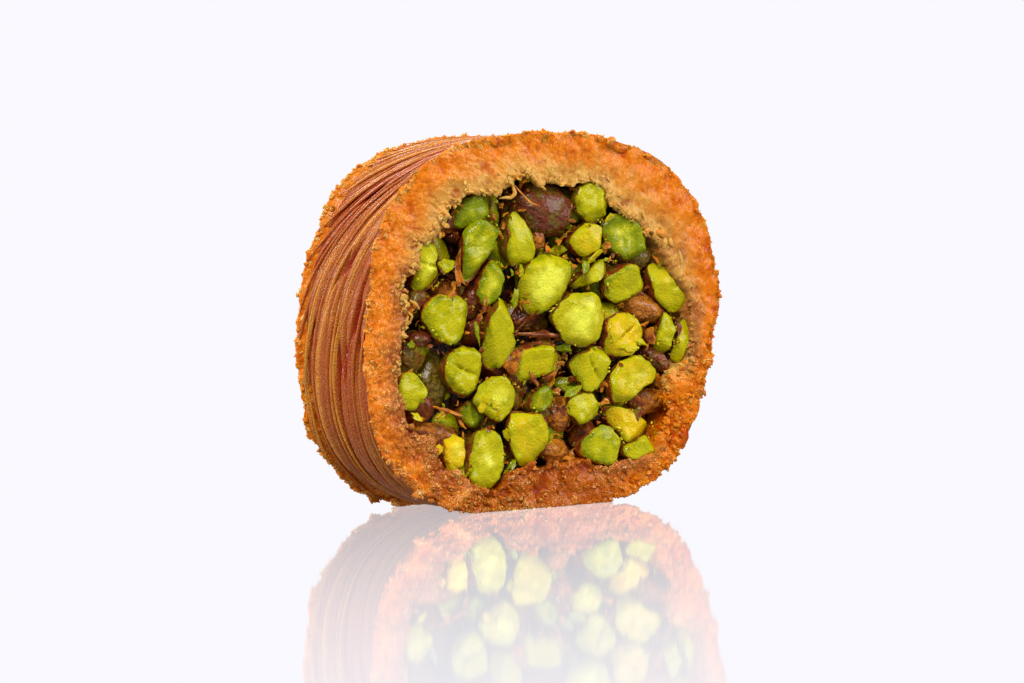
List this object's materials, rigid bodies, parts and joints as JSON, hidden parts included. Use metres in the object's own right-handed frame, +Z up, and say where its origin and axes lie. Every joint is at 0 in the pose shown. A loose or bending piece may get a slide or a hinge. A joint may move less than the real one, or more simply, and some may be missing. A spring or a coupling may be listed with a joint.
{
  "type": "borma pastry slice",
  "caption": "Slice of a baked borma: a thick ring of wound shredded dough round a packed core of cut pistachios, lying on its flattened side.",
  "frame": {"origin": "centre of the slice's footprint, on the surface that it lies on", "axes": "+Y along the roll's own axis, away from the shown cut; +X across the shown cut, to its right; +Z up"},
  "size_m": [0.0548, 0.0164, 0.0465],
  "materials": {
    "baked_dough": "shredded dough baked in butter and glazed with syrup",
    "pistachio": "wet cut pistachio kernels with brown skins"
  },
  "bodies": {
    "root": {"kadaif_wall": "baked_dough", "pistachio_filling": "pistachio"}
  },
  "joints": []
}
